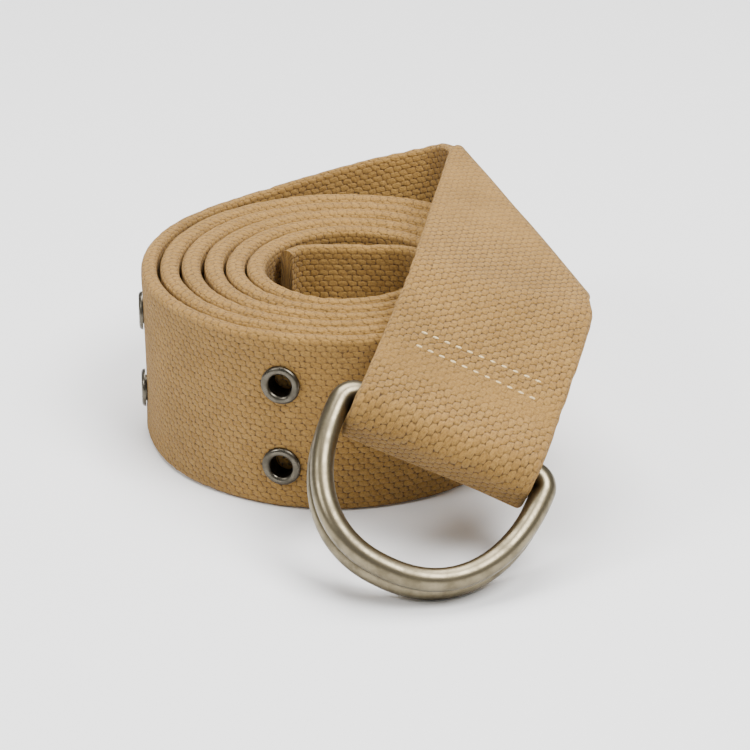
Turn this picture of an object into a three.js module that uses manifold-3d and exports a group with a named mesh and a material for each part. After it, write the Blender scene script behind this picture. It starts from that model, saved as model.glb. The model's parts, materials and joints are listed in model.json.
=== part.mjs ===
// A webbing belt with two D-rings, rolled up and standing on its edge.
// Units are millimetres, +Z is up, +X is right and +Y is away from the front of the coil.
import * as THREE from "three";
import { mergeVertices } from "three/addons/utils/BufferGeometryUtils.js";
import Module from "manifold-3d";

// Webbing
const STRAP_WIDTH = 38.3;
const STRAP_THICKNESS = 2.7;
const EDGE_ROUND = 1.0;
const EDGE_FLAT = 1.2;
const HALF_WIDTH = STRAP_WIDTH / 2;
const HALF_THICKNESS = STRAP_THICKNESS / 2;

// Coil, wound clockwise from the tip outwards
const COIL_CENTRE = new THREE.Vector2(-6.4, 16.9);
const TIP_AZIMUTH = 156;
const COIL_STEP = 9;
const COIL_SIDES = {
  right: { start: 16.4, pitch: 3.7 },
  back: { start: 14.3, pitch: 5.0 },
  left: { start: 14.4, pitch: 4.6 },
  front: { start: 18.6, pitch: 3.85 },
};
const TIP_CHORD = 9.2;
const TIP_CHORD_SHARPNESS = 8;
const TIP_FREE_AZIMUTH = 4;
const TURNS_BEFORE_TAIL = 6.08;

// Diagonal fold of the tail, as the line of its crease
const FOLD_TOP = new THREE.Vector3(18.0, 57.1, 51.7);
const FOLD_FOOT = new THREE.Vector3(45.6, -6.1, 38.0);
const FOLD_RADIUS = 4.2;
const FOLD_OPENING = 101;
const FOLD_STEPS = 8;
const FOLD_MARGIN = 1;
const TAIL_ROWS = 12;
const TAIL_PULL = 0.29;

// D-rings
const WIRE_RADIUS = 2.3;
const RING_HALF_WIDTH = 21.6;
const RING_CORNER = 3.2;
const RING_BOW_DEPTH = 27.5;
const RING_BOW_POWER = 2.25;
const RING_GAP = 0.3;
const RING_SIDES = 10;
const RING_CORNER_STEPS = 3;
const RING_BOW_STEPS = 22;
const BAR_CENTRE = new THREE.Vector3(14.1, -43.0, 26.02);
const BAR_ACROSS = new THREE.Vector3(0.91, -0.192, -0.368);
const RING_FACE = new THREE.Vector3(0.153, -0.671, 0.726);

// End loop and its return flap
const FRONT_RUN_TILT = 17.5;
const FRONT_ROWS = 10;
const FRONT_PULL = 0.16;
const LOOP_GAP = 0.6;
const LOOP_SLACK = 0.2;
const LOOP_ROWS = 8;
const FLAP_LENGTH = 22;
const FLAP_CLIMB_START = 1;
const FLAP_CLIMB = 12;
const FLAP_ROWS = 12;
const FLAP_GAP = 0.35;

// Eyelets
const EYELET_SPACING = 50.8;
const EYELET_ROWS = { upper: 8.4, lower: -9.6 };
const EYELET_FLANGE_RADIUS = 4.1;
const EYELET_HOLE_RADIUS = 2.35;
const EYELET_WALL = 0.45;
const EYELET_PROUD_OUT = 0.85;
const EYELET_PROUD_IN = 0.3;
const EYELET_WASHER = 0.3;
const EYELET_FIT_OUT = 0.12;
const EYELET_FIT_IN = 0.12;
const EYELET_SIDES = 12;
const HOLE_RADIUS = EYELET_HOLE_RADIUS + EYELET_WALL + 0.3;
const DRILL_SPARE = 1.2;
const FRONT_PAIR_AZIMUTH = -107.2;
const FIRST_PAIR_TURNS = 0.4;
const OUTER_TURN_START = 5.4;

const COLOURS = { webbing: 0xb3935f, nickel: 0x8c8576, eyelet: 0x7d766b };

const radians = THREE.MathUtils.degToRad;

function periodic(field, azimuth) {
  const right = COIL_SIDES.right[field];
  const back = COIL_SIDES.back[field];
  const left = COIL_SIDES.left[field];
  const front = COIL_SIDES.front[field];
  const mean = (right + back + left + front) / 4;
  const oval = (right + left - back - front) / 4;
  return mean
    + (right - left) / 2 * Math.cos(azimuth)
    + (back - front) / 2 * Math.sin(azimuth)
    + oval * Math.cos(2 * azimuth);
}

function azimuthAt(turns) {
  return radians(TIP_AZIMUTH - 360 * turns);
}

// Radius of the strap's middle after a number of turns. The loose tip cuts straight across the eye.
function coilRadius(turns) {
  const azimuth = azimuthAt(turns);
  const wound = periodic("start", azimuth) + periodic("pitch", azimuth) * turns;
  const tipEnd = (TIP_AZIMUTH - TIP_FREE_AZIMUTH) / 360;
  if (turns > tipEnd) return wound;
  const chord = TIP_CHORD / Math.sin(azimuth);
  const n = TIP_CHORD_SHARPNESS;
  return (wound ** -n + chord ** -n) ** (-1 / n);
}

function coilPoint(turns) {
  const azimuth = azimuthAt(turns);
  const radius = coilRadius(turns);
  return new THREE.Vector3(
    COIL_CENTRE.x + radius * Math.cos(azimuth),
    COIL_CENTRE.y + radius * Math.sin(azimuth),
    HALF_WIDTH,
  );
}

function coilFrame(turns) {
  const step = 1e-3;
  const ahead = coilPoint(turns + step);
  const behind = coilPoint(turns - step);
  const along = ahead.sub(behind).normalize();
  return makeFrame(coilPoint(turns), along, new THREE.Vector3(0, 0, 1));
}

function bendRadius(turns) {
  const step = 1e-2;
  const behind = coilFrame(turns - step);
  const ahead = coilFrame(turns + step);
  return behind.middle.distanceTo(ahead.middle) / behind.along.angleTo(ahead.along);
}

// A frame is a place on the strap's middle line, its running direction, and its width direction.
function makeFrame(middle, along, across) {
  const run = along.clone().normalize();
  const width = across.clone().addScaledVector(run, -across.dot(run)).normalize();
  return { middle: middle.clone(), along: run, across: width };
}

// Places across the strap: both edges, and where each edge starts to be eased
function stationsAcross() {
  const flat = HALF_WIDTH - EDGE_ROUND;
  return [HALF_WIDTH, flat, -flat, -HALF_WIDTH];
}

function frameRow(frame) {
  const stations = stationsAcross();
  const normal = new THREE.Vector3().crossVectors(frame.across, frame.along);
  const points = stations.map((v) => frame.middle.clone().addScaledVector(frame.across, v));
  return { points, normals: stations.map(() => normal), frame };
}

// Smooth run between two frames: a cubic middle line, with the width direction turned evenly.
function bridgeRows(from, to, rows, pull) {
  const reach = from.middle.distanceTo(to.middle) * pull;
  const curve = new THREE.CubicBezierCurve3(
    from.middle,
    from.middle.clone().addScaledVector(from.along, reach),
    to.middle.clone().addScaledVector(to.along, -reach),
    to.middle,
  );
  const result = [];
  for (let i = 1; i < rows; i++) {
    const t = i / rows;
    const ease = t * t * (3 - 2 * t);
    const across = from.across.clone().lerp(to.across, ease);
    result.push(frameRow(makeFrame(curve.getPoint(t), curve.getTangent(t), across)));
  }
  return result;
}

// The soft fold is a cylinder whose axis is the crease: upright tail, round bend, flat front run.
function foldGeometry() {
  const crease = FOLD_FOOT.clone().sub(FOLD_TOP);
  const slant = Math.asin(STRAP_WIDTH / Math.max(STRAP_WIDTH, crease.length()));
  const axis = crease.clone().normalize();
  const outward = new THREE.Vector3(-axis.y, axis.x, 0).normalize();
  const towardsTail = new THREE.Vector3().crossVectors(outward, axis).normalize();
  const opening = radians(FOLD_OPENING);
  const towardsFront = towardsTail.clone().multiplyScalar(Math.cos(opening));
  towardsFront.addScaledVector(outward, -Math.sin(opening));
  const centre = FOLD_TOP.clone().add(FOLD_FOOT).multiplyScalar(0.5);
  return { axis, slant, towardsTail, towardsFront, centre };
}

// Profile of the bend in the plane across the crease, by its arc length from the middle of the bend.
function foldProfile(fold, q) {
  const half = radians(FOLD_OPENING) / 2;
  const arc = foldArc();
  const inward = fold.towardsTail.clone().add(fold.towardsFront).normalize();
  const side = fold.towardsFront.clone().addScaledVector(inward, -fold.towardsFront.dot(inward)).normalize();
  const centreDepth = FOLD_RADIUS / Math.sin(half);
  const point = new THREE.Vector3();
  const sign = Math.sign(q) || 1;
  const angle = Math.min(Math.abs(q), arc) / FOLD_RADIUS;
  point.addScaledVector(inward, centreDepth - FOLD_RADIUS * Math.cos(angle));
  point.addScaledVector(side, sign * FOLD_RADIUS * Math.sin(angle));
  const direction = inward.clone().multiplyScalar(Math.sin(angle) * sign);
  direction.addScaledVector(side, Math.cos(angle));
  const beyond = Math.abs(q) - arc;
  if (beyond > 0) point.addScaledVector(direction, sign * beyond);
  return { point, direction };
}

function foldPoint(fold, s, v) {
  const p = s * Math.cos(fold.slant) - v * Math.sin(fold.slant);
  const q = s * Math.sin(fold.slant) + v * Math.cos(fold.slant);
  const { point, direction } = foldProfile(fold, q);
  const place = fold.centre.clone().addScaledVector(fold.axis, p).add(point);
  const along = fold.axis.clone().multiplyScalar(Math.cos(fold.slant));
  along.addScaledVector(direction, Math.sin(fold.slant));
  const across = fold.axis.clone().multiplyScalar(-Math.sin(fold.slant));
  across.addScaledVector(direction, Math.cos(fold.slant));
  return { place, along, across };
}

// Half the arc length of the bend, and how far the fold's flat ends reach along the strap
function foldArc() {
  return FOLD_RADIUS * (Math.PI - radians(FOLD_OPENING)) / 2;
}

function foldReach(fold) {
  return (foldArc() + HALF_WIDTH * Math.cos(fold.slant)) / Math.sin(fold.slant) + FOLD_MARGIN;
}

// A row of the fold. Its slope turns a square row into one that lies along the crease.
function foldRow(fold, s, slope) {
  const stations = stationsAcross();
  const lean = slope / Math.tan(fold.slant);
  const spots = stations.map((v) => foldPoint(fold, s - v * lean, v));
  const normals = spots.map(({ along, across }) => new THREE.Vector3().crossVectors(across, along));
  const { place, along, across } = foldPoint(fold, s, 0);
  return { points: spots.map((spot) => spot.place), normals, frame: makeFrame(place, along, across) };
}

function foldRows(fold) {
  const reach = foldReach(fold);
  const bend = foldArc() / Math.sin(fold.slant);
  const rows = [foldRow(fold, -reach, 0)];
  for (let i = 0; i <= FOLD_STEPS; i++) rows.push(foldRow(fold, bend * (2 * i / FOLD_STEPS - 1), 1));
  rows.push(foldRow(fold, reach, 0));
  return rows;
}

// Frames of the rings: bars across, bow downwards and forwards.
function ringFrame() {
  const across = BAR_ACROSS.clone().normalize();
  const face = RING_FACE.clone().addScaledVector(across, -RING_FACE.dot(across)).normalize();
  const bow = new THREE.Vector3().crossVectors(across, face);
  return { across, face, bow };
}

function ringCentre(index) {
  const { face } = ringFrame();
  return BAR_CENTRE.clone().addScaledVector(face, -index * (2 * WIRE_RADIUS + RING_GAP));
}

// The end loop runs round both bars, the front one first.
function loopRows() {
  const { across, face, bow } = ringFrame();
  const tilt = radians(FRONT_RUN_TILT);
  const upper = face.clone().multiplyScalar(Math.cos(tilt)).addScaledVector(bow, -Math.sin(tilt));
  const run = bow.clone().multiplyScalar(Math.cos(tilt)).addScaledVector(face, Math.sin(tilt));
  const radius = WIRE_RADIUS + LOOP_GAP + HALF_THICKNESS;
  const width = across.clone().negate();
  const rows = [];
  const sweep = (centre, fromAngle, toAngle, steps) => {
    for (let i = 0; i <= steps; i++) {
      const angle = fromAngle + (toAngle - fromAngle) * i / steps;
      const out = upper.clone().multiplyScalar(Math.cos(angle)).addScaledVector(run, Math.sin(angle));
      const along = run.clone().multiplyScalar(Math.cos(angle)).addScaledVector(upper, -Math.sin(angle));
      const middle = centre.clone().addScaledVector(bow, LOOP_SLACK).addScaledVector(out, radius);
      rows.push(frameRow(makeFrame(middle, along, width)));
    }
  };
  const bend = Math.PI / 2 + tilt;
  sweep(ringCentre(0), 0, bend, LOOP_ROWS);
  sweep(ringCentre(1), bend, Math.PI, LOOP_ROWS / 2);
  return rows;
}

// Frame of a run of rows at a distance back from its last row
function frameBack(rows, distance) {
  let left = distance;
  for (let i = rows.length - 1; i > 0; i--) {
    const near = rows[i].frame;
    const far = rows[i - 1].frame;
    const length = near.middle.distanceTo(far.middle);
    if (left <= length) {
      const t = left / length;
      const middle = near.middle.clone().lerp(far.middle, t);
      return makeFrame(middle, near.along.clone().lerp(far.along, t), near.across.clone().lerp(far.across, t));
    }
    left -= length;
  }
  return rows[0].frame;
}

// The return flap leaves the loop, climbs to the underside of the front run and lies along it.
function flapRows(front, loop) {
  const top = loop[0].frame;
  const start = loop[loop.length - 1].frame.middle.clone().sub(top.middle);
  const upper = new THREE.Vector3().crossVectors(top.across, top.along);
  const drop = -start.dot(upper);
  const lead = start.dot(top.along);
  const lying = STRAP_THICKNESS + FLAP_GAP;
  const run = [...front, loop[0]];
  const place = (distance) => {
    const frame = frameBack(run, distance);
    const normal = new THREE.Vector3().crossVectors(frame.across, frame.along);
    const climb = THREE.MathUtils.clamp((distance - FLAP_CLIMB_START) / FLAP_CLIMB, 0, 1);
    const ease = climb * climb * (3 - 2 * climb);
    const middle = frame.middle.clone().addScaledVector(normal, -drop + (drop - lying) * ease);
    return { middle: middle.addScaledVector(frame.along, lead * (1 - ease)), across: frame.across };
  };
  const rows = [];
  const step = FLAP_LENGTH / FLAP_ROWS;
  for (let i = 1; i <= FLAP_ROWS; i++) {
    const { middle, across } = place(i * step);
    const along = place((i + 0.5) * step).middle.sub(place((i - 0.5) * step).middle);
    rows.push(frameRow(makeFrame(middle, along, across)));
  }
  return rows;
}

// Each row becomes a section with eased edges and a narrow flat along each edge.
function sectionChains(row) {
  const { points, normals } = row;
  const last = points.length - 1;
  const offset = (side) => points.map((point, i) => {
    const height = side * (i === 0 || i === last ? EDGE_FLAT / 2 : HALF_THICKNESS);
    return point.clone().addScaledVector(normals[i], height);
  });
  return { outer: offset(1), inner: offset(-1) };
}

function stitchChains(a, b, flip, triangles) {
  for (let i = 0; i < a.length - 1; i++) {
    const quad = [a[i], a[i + 1], b[i + 1], a[i], b[i + 1], b[i]];
    triangles.push(...(flip ? quad.reverse() : quad));
  }
}

function capRow(chains, flip, triangles) {
  const ring = [...chains.outer, ...[...chains.inner].reverse()];
  for (let i = 1; i < ring.length - 1; i++) {
    triangles.push(...(flip ? [ring[0], ring[i + 1], ring[i]] : [ring[0], ring[i], ring[i + 1]]));
  }
}

function soupGeometry(triangles) {
  const positions = new Float32Array(triangles.length * 3);
  triangles.forEach((point, i) => point.toArray(positions, 3 * i));
  const geometry = new THREE.BufferGeometry();
  geometry.setAttribute("position", new THREE.BufferAttribute(positions, 3));
  return geometry;
}

function ribbonGeometry(rows) {
  const triangles = [];
  const chains = rows.map(sectionChains);
  for (let i = 0; i < chains.length - 1; i++) {
    const { outer, inner } = chains[i];
    const { outer: nextOuter, inner: nextInner } = chains[i + 1];
    stitchChains(outer, nextOuter, true, triangles);
    stitchChains(inner, nextInner, false, triangles);
    stitchChains([outer[0], inner[0]], [nextOuter[0], nextInner[0]], false, triangles);
    stitchChains([outer.at(-1), inner.at(-1)], [nextOuter.at(-1), nextInner.at(-1)], true, triangles);
  }
  capRow(chains[0], false, triangles);
  capRow(chains[chains.length - 1], true, triangles);
  return soupGeometry(triangles);
}

const wasm = await Module();
wasm.setup();

function toManifold(geometry) {
  const bare = geometry.clone();
  bare.deleteAttribute("normal");
  bare.deleteAttribute("uv");
  const merged = mergeVertices(bare, 1e-4);
  return new wasm.Manifold(new wasm.Mesh({
    numProp: 3,
    vertProperties: new Float32Array(merged.attributes.position.array),
    triVerts: new Uint32Array(merged.index.array),
  }));
}

function toGeometry(solid) {
  const mesh = solid.getMesh();
  const geometry = new THREE.BufferGeometry();
  geometry.setAttribute("position", new THREE.BufferAttribute(new Float32Array(mesh.vertProperties), 3));
  geometry.setIndex(new THREE.BufferAttribute(new Uint32Array(mesh.triVerts), 1));
  return geometry;
}

// All rows of the strap, from the tip to the end of the flap
function strapRows() {
  const rows = [];
  const step = COIL_STEP / 360;
  for (let turns = 0; turns < TURNS_BEFORE_TAIL; turns += step) rows.push(frameRow(coilFrame(turns)));
  const leave = coilFrame(TURNS_BEFORE_TAIL);
  rows.push(frameRow(leave));
  const fold = foldGeometry();
  const bend = foldRows(fold);
  const loop = loopRows();
  rows.push(...bridgeRows(leave, bend[0].frame, TAIL_ROWS, TAIL_PULL));
  rows.push(...bend);
  const front = bridgeRows(bend[bend.length - 1].frame, loop[0].frame, FRONT_ROWS, FRONT_PULL);
  rows.push(...front, ...loop, ...flapRows(front, loop));
  return rows;
}

// Eyelet places along the wound strap, counted back from the pair at the front
function pairTurns() {
  const found = [];
  const step = 1 / 720;
  const front = (TIP_AZIMUTH - FRONT_PAIR_AZIMUTH) / 360 + 5;
  const walk = (sign, limit) => {
    let length = 0;
    for (let turns = front; sign * (limit - turns) > 0; turns += sign * step) {
      length += coilPoint(turns).distanceTo(coilPoint(turns + sign * step));
      if (length >= EYELET_SPACING) {
        found.push(turns);
        length = 0;
      }
    }
  };
  walk(-1, FIRST_PAIR_TURNS);
  found.reverse();
  found.push(front);
  walk(1, TURNS_BEFORE_TAIL);
  return found.filter((turns) => turns < 1 || turns > OUTER_TURN_START);
}

// The washer of an eyelet is flat, so on the hollow side it stands off by the depth of the bend
// and of the strap's facets.
function eyeletGeometry(proudOut, bend, sides) {
  const barrel = EYELET_HOLE_RADIUS + EYELET_WALL;
  const outer = HALF_THICKNESS + EYELET_FIT_OUT;
  const hollow = EYELET_FLANGE_RADIUS ** 2 / (2 * bend) + bend * (1 - Math.cos(radians(COIL_STEP / 2)));
  const inner = -HALF_THICKNESS - EYELET_FIT_IN - hollow;
  const rim = EYELET_FLANGE_RADIUS;
  const crest = (EYELET_HOLE_RADIUS + rim) / 2;
  const washer = rim - 0.3;
  const profile = [
    [EYELET_HOLE_RADIUS, inner - EYELET_WASHER],
    [washer, inner - EYELET_WASHER],
    [washer, inner],
    [barrel, inner],
    [barrel, outer],
    [rim, outer],
    [rim - 0.25, outer + proudOut * 0.65],
    [crest, outer + proudOut],
    [EYELET_HOLE_RADIUS + 0.1, outer + proudOut * 0.6],
    [EYELET_HOLE_RADIUS, outer],
  ];
  const points = profile.map(([x, y]) => new THREE.Vector2(x, y));
  points.push(points[0].clone());
  return new THREE.LatheGeometry(points, sides);
}

// Turns a lathe's own axis to the strap's outward normal at a place beside its middle line.
function placeOnStrap(geometry, frame, offset) {
  const normal = new THREE.Vector3().crossVectors(frame.across, frame.along);
  const basis = new THREE.Matrix4().makeBasis(frame.along, normal, frame.across);
  const centre = frame.middle.clone().addScaledVector(frame.across, offset);
  return geometry.applyMatrix4(basis.setPosition(centre));
}

// Middle line of one D-ring in its own plane: the bar lies on X, the bow is towards +Y.
function ringOutline() {
  const points = [];
  const arc = (x, y, radius, from, to, steps) => {
    for (let i = 0; i <= steps; i++) {
      const angle = radians(from + (to - from) * i / steps);
      points.push(new THREE.Vector2(x + radius * Math.cos(angle), y + radius * Math.sin(angle)));
    }
  };
  const bend = RING_HALF_WIDTH - RING_CORNER;
  arc(bend, RING_CORNER, RING_CORNER, -90, 0, RING_CORNER_STEPS);
  for (let i = 1; i < RING_BOW_STEPS; i++) {
    const angle = Math.PI * i / RING_BOW_STEPS;
    const c = Math.cos(angle);
    const s = Math.sin(angle);
    const swell = (Math.abs(c) ** RING_BOW_POWER + s ** RING_BOW_POWER) ** (-1 / RING_BOW_POWER);
    points.push(new THREE.Vector2(RING_HALF_WIDTH * c * swell, RING_CORNER + RING_BOW_DEPTH * s * swell));
  }
  arc(-bend, RING_CORNER, RING_CORNER, 180, 270, RING_CORNER_STEPS);
  return points;
}

function ringGeometry() {
  const outline = ringOutline();
  const count = outline.length;
  const sections = outline.map((point, i) => {
    const ahead = outline[(i + 1) % count];
    const behind = outline[(i + count - 1) % count];
    const side = new THREE.Vector2(ahead.y - behind.y, behind.x - ahead.x).normalize();
    const section = [];
    for (let k = 0; k < RING_SIDES; k++) {
      const angle = 2 * Math.PI * k / RING_SIDES;
      const out = WIRE_RADIUS * Math.cos(angle);
      const up = WIRE_RADIUS * Math.sin(angle);
      section.push(new THREE.Vector3(point.x + side.x * out, point.y + side.y * out, up));
    }
    return section;
  });
  const triangles = [];
  sections.forEach((section, i) => {
    const next = sections[(i + 1) % count];
    section.forEach((corner, k) => {
      const m = (k + 1) % RING_SIDES;
      triangles.push(corner, next[k], next[m], corner, next[m], section[m]);
    });
  });
  return soupGeometry(triangles);
}

function placeRing(geometry, index) {
  const { across, bow } = ringFrame();
  const basis = new THREE.Matrix4().makeBasis(across, bow, new THREE.Vector3().crossVectors(across, bow));
  return geometry.applyMatrix4(basis.setPosition(ringCentre(index)));
}

function metal(colour, roughness) {
  return new THREE.MeshStandardMaterial({ color: colour, roughness, metalness: 1 });
}

function addMesh(group, name, geometry, material) {
  const mesh = new THREE.Mesh(geometry, material);
  mesh.name = name;
  mesh.geometry.computeVertexNormals();
  group.add(mesh);
}

const belt = new THREE.Group();
let strap = toManifold(ribbonGeometry(strapRows()));
pairTurns().forEach((turns, pair) => {
  const frame = coilFrame(turns);
  const proud = turns > OUTER_TURN_START ? EYELET_PROUD_OUT : EYELET_PROUD_IN;
  for (const [row, offset] of Object.entries(EYELET_ROWS)) {
    const drill = new THREE.CylinderGeometry(HOLE_RADIUS, HOLE_RADIUS, STRAP_THICKNESS + DRILL_SPARE, EYELET_SIDES);
    strap = strap.subtract(toManifold(placeOnStrap(drill, frame, offset)));
    const eyelet = placeOnStrap(eyeletGeometry(proud, bendRadius(turns), EYELET_SIDES), frame, offset);
    addMesh(belt, `eyelet_${row}_${pair + 1}`, eyelet, metal(COLOURS.eyelet, 0.35));
  }
});
const webbing = new THREE.MeshStandardMaterial({ color: COLOURS.webbing, roughness: 0.95, metalness: 0 });
addMesh(belt, "strap", toGeometry(strap), webbing);
addMesh(belt, "d_ring_front", placeRing(ringGeometry(), 0), metal(COLOURS.nickel, 0.3));
addMesh(belt, "d_ring_back", placeRing(ringGeometry(), 1), metal(COLOURS.nickel, 0.3));

// The origin is the middle of the footprint, on the surface that the belt stands on.
const box = new THREE.Box3().setFromObject(belt);
const middle = box.getCenter(new THREE.Vector3());
belt.position.set(-middle.x, -middle.y, -box.min.z);
belt.updateMatrixWorld(true);

export default belt;
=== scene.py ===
"""A rolled-up webbing belt with two D-rings, dressed for a studio picture around its CAD part."""

import json
import logging
import math
from dataclasses import dataclass, field
from enum import Enum

import bmesh
import bpy
from mathutils import Matrix, Vector, noise
from mathutils.geometry import interpolate_bezier

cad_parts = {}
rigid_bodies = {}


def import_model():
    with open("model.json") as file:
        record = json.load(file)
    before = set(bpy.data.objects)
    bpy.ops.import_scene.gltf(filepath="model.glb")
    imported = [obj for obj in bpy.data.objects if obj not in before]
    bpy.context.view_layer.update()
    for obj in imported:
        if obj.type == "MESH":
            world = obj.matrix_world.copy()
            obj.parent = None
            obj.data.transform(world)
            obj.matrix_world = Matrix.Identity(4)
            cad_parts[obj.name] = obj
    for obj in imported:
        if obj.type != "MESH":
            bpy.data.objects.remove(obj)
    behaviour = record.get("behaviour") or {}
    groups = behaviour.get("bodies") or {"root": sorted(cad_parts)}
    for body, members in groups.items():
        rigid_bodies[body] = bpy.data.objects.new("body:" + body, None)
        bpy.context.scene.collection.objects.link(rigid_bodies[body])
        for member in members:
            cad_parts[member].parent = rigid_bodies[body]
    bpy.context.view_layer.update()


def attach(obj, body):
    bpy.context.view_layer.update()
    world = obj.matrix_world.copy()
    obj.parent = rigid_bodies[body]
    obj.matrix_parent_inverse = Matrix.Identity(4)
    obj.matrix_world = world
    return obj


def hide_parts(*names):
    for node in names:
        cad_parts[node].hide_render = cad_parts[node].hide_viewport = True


MM = 0.001
UP = Vector((0, 0, 1))
STRAP_WIDTH = 38.3
# Move from the drawing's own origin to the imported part's, in millimetres.
CAD_SHIFT = Vector((2.7264, -0.7356, 0.0))

Socket = bpy.types.NodeSocket
Value = Socket | float | tuple
UvLayer = bmesh.types.BMLayerItem

log = logging.getLogger("belt")


def smooth(share: float) -> float:
    """Eases a share of a way, so that it starts and ends level."""
    return share * share * (3 - 2 * share)


def clamp(share: float) -> float:
    """Keeps a share between 0 and 1."""
    return min(1.0, max(0.0, share))


class Body(Enum):
    """The CAD bodies that the pieces ride on."""

    WEBBING = "webbing"
    FRONT_RING = "front_ring"
    BACK_RING = "back_ring"


class Slot(Enum):
    """The record's material slots."""

    WEBBING = "webbing"
    RING = "ring_metal"
    EYELET = "eyelet_metal"


class Op(Enum):
    """The arithmetic that the materials use."""

    ADD = "ADD"
    SUBTRACT = "SUBTRACT"
    MULTIPLY = "MULTIPLY"
    DIVIDE = "DIVIDE"
    POWER = "POWER"
    FLOOR = "FLOOR"
    FRACTION = "FRACT"
    MODULO = "FLOORED_MODULO"
    ABSOLUTE = "ABSOLUTE"
    MAXIMUM = "MAXIMUM"
    MINIMUM = "MINIMUM"


def deselect_all() -> None:
    """Leaves no object selected."""
    for item in bpy.context.scene.objects:
        item.select_set(False)


def start_edit(piece: bpy.types.Object) -> None:
    """Makes a piece the only one selected and opens it in edit mode.

    Args:
        piece: The mesh to shape.
    """
    deselect_all()
    piece.select_set(True)
    bpy.context.view_layer.objects.active = piece
    bpy.ops.object.mode_set(mode="EDIT")


def finish_edit(angle: float = 50) -> None:
    """Closes edit mode and shades the active piece smooth up to an angle.

    Args:
        angle: Edges sharper than this, in degrees, stay crisp.
    """
    bpy.ops.object.mode_set(mode="OBJECT")
    bpy.ops.object.shade_smooth_by_angle(angle=math.radians(angle))


def placed_copy(source: bpy.types.Object, name: str, place: Matrix) -> bpy.types.Object:
    """Copies a piece, with a mesh of its own, to a place.

    Args:
        source: The piece as modelled at the origin.
        name: Name of the copy.
        place: Where it goes, in millimetres of the CAD frame.

    Returns:
        The copy, with its place in its mesh.
    """
    piece = source.copy()
    piece.data = source.data.copy()
    piece.name = name
    piece.data.name = name
    piece.data.transform(Matrix.Scale(MM, 4) @ place)
    bpy.context.scene.collection.objects.link(piece)
    return piece


def basis(x: Vector, y: Vector, z: Vector, origin: Vector) -> Matrix:
    """Puts three directions and an origin into a matrix.

    Args:
        x: Where the local X axis points.
        y: Where the local Y axis points.
        z: Where the local Z axis points.
        origin: Where the local origin goes.

    Returns:
        The matrix from the local frame to the outer one.
    """
    turn = Matrix((x, y, z)).transposed().to_4x4()
    return Matrix.Translation(origin) @ turn


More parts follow.
